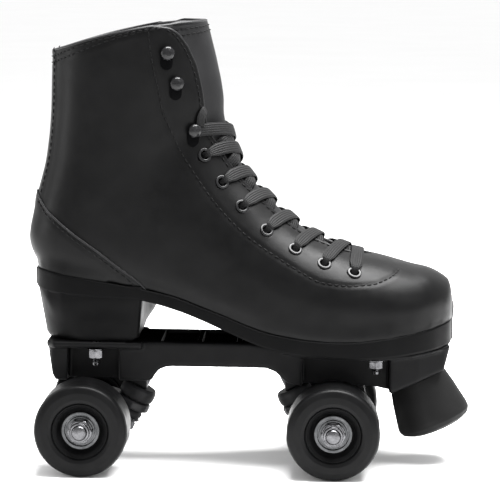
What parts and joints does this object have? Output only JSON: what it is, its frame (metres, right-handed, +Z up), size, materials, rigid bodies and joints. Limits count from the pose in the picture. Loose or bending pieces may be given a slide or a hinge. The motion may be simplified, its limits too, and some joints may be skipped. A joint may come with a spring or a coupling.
{
  "type": "quad roller skate",
  "caption": "High-top lace-up boot with stacked heel on a flat plate, two sprung trucks, wide wheels in pairs and an angled toe stop.",
  "frame": {"origin": "on the floor, under the middle of the whole skate's box", "axes": "+X from heel to toe, +Y to the wearer's left, which is the inner side of this right-foot skate, +Z up"},
  "size_m": [0.2606, 0.14, 0.2608],
  "materials": {
    "leather": "black satin coated leather",
    "insole_foam": "cloth-covered foam",
    "sole_rubber": "satin black moulded rubber",
    "lace_cloth": "woven black polyester",
    "plate_nylon": "satin black moulded nylon",
    "stop_rubber": "matt black rubber",
    "black_metal": "gloss black lacquered brass",
    "wheel_urethane": "satin black cast urethane",
    "bearing_steel": "bright ground steel",
    "hanger_metal": "black powder-coated alloy",
    "cushion_rubber": "matt black rubber",
    "zinc_steel": "zinc-plated steel"
  },
  "bodies": {
    "chassis": {"boot_upper": "leather", "cup_washer_front": "zinc_steel", "cup_washer_rear": "zinc_steel", "insole": "insole_foam", "kingpin_front": "zinc_steel", "kingpin_nut_front": "zinc_steel", "kingpin_nut_rear": "zinc_steel", "kingpin_rear": "zinc_steel", "lace": "lace_cloth", "lace_hook_lateral_1": "black_metal", "lace_hook_lateral_2": "black_metal", "lace_hook_lateral_3": "black_metal", "lace_hook_medial_1": "black_metal", "lace_hook_medial_2": "black_metal", "lace_hook_medial_3": "black_metal", "lower_cushion_front": "cushion_rubber", "lower_cushion_rear": "cushion_rubber", "mounting_bolt_front_lateral": "zinc_steel", "mounting_bolt_front_medial": "zinc_steel", "mounting_bolt_rear_lateral": "zinc_steel", "mounting_bolt_rear_medial": "zinc_steel", "mounting_nut_front_lateral": "zinc_steel", "mounting_nut_front_medial": "zinc_steel", "mounting_nut_rear_lateral": "zinc_steel", "mounting_nut_rear_medial": "zinc_steel", "pivot_cup_front": "cushion_rubber", "pivot_cup_rear": "cushion_rubber", "plate": "plate_nylon", "sole_unit": "sole_rubber", "toe_stop": "stop_rubber", "toe_stop_bolt": "zinc_steel", "tongue": "leather", "upper_cushion_front": "cushion_rubber", "upper_cushion_rear": "cushion_rubber"},
    "truck_rear": {"axle_nut_rear_lateral": "zinc_steel", "axle_nut_rear_medial": "zinc_steel", "axle_rear": "zinc_steel", "hanger_rear": "hanger_metal"},
    "wheel_rear_lateral": {"bearing_inner_rear_lateral": "bearing_steel", "bearing_outer_rear_lateral": "bearing_steel", "wheel_rear_lateral": "wheel_urethane"},
    "wheel_rear_medial": {"bearing_inner_rear_medial": "bearing_steel", "bearing_outer_rear_medial": "bearing_steel", "wheel_rear_medial": "wheel_urethane"},
    "truck_front": {"axle_front": "zinc_steel", "axle_nut_front_lateral": "zinc_steel", "axle_nut_front_medial": "zinc_steel", "hanger_front": "hanger_metal"},
    "wheel_front_lateral": {"bearing_inner_front_lateral": "bearing_steel", "bearing_outer_front_lateral": "bearing_steel", "wheel_front_lateral": "wheel_urethane"},
    "wheel_front_medial": {"bearing_inner_front_medial": "bearing_steel", "bearing_outer_front_medial": "bearing_steel", "wheel_front_medial": "wheel_urethane"}
  },
  "joints": [
    {"name": "rear_truck_tilt", "type": "hinge", "parent": "chassis", "child": "truck_rear", "pos_m": [-0.07032, 0, 0.0325], "axis": [0.9786, 0, -0.2059], "range_deg": [-8, 8], "stiffness_Nm_per_rad": 30, "deforming": ["upper_cushion_rear", "lower_cushion_rear"]},
    {"name": "wheel_rear_lateral_spin", "type": "hinge", "parent": "truck_rear", "child": "wheel_rear_lateral", "pos_m": [-0.0953, -0.0495, 0.027], "axis": [0, 1, 0], "continuous": true},
    {"name": "wheel_rear_medial_spin", "type": "hinge", "parent": "truck_rear", "child": "wheel_rear_medial", "pos_m": [-0.0953, 0.0495, 0.027], "axis": [0, 1, 0], "continuous": true},
    {"name": "front_truck_tilt", "type": "hinge", "parent": "chassis", "child": "truck_front", "pos_m": [0.03012, 0, 0.0325], "axis": [0.9705, 0, 0.2412], "range_deg": [-8, 8], "stiffness_Nm_per_rad": 30, "deforming": ["upper_cushion_front", "lower_cushion_front"]},
    {"name": "wheel_front_lateral_spin", "type": "hinge", "parent": "truck_front", "child": "wheel_front_lateral", "pos_m": [0.0499, -0.0495, 0.027], "axis": [0, 1, 0], "continuous": true},
    {"name": "wheel_front_medial_spin", "type": "hinge", "parent": "truck_front", "child": "wheel_front_medial", "pos_m": [0.0499, 0.0495, 0.027], "axis": [0, 1, 0], "continuous": true}
  ]
}
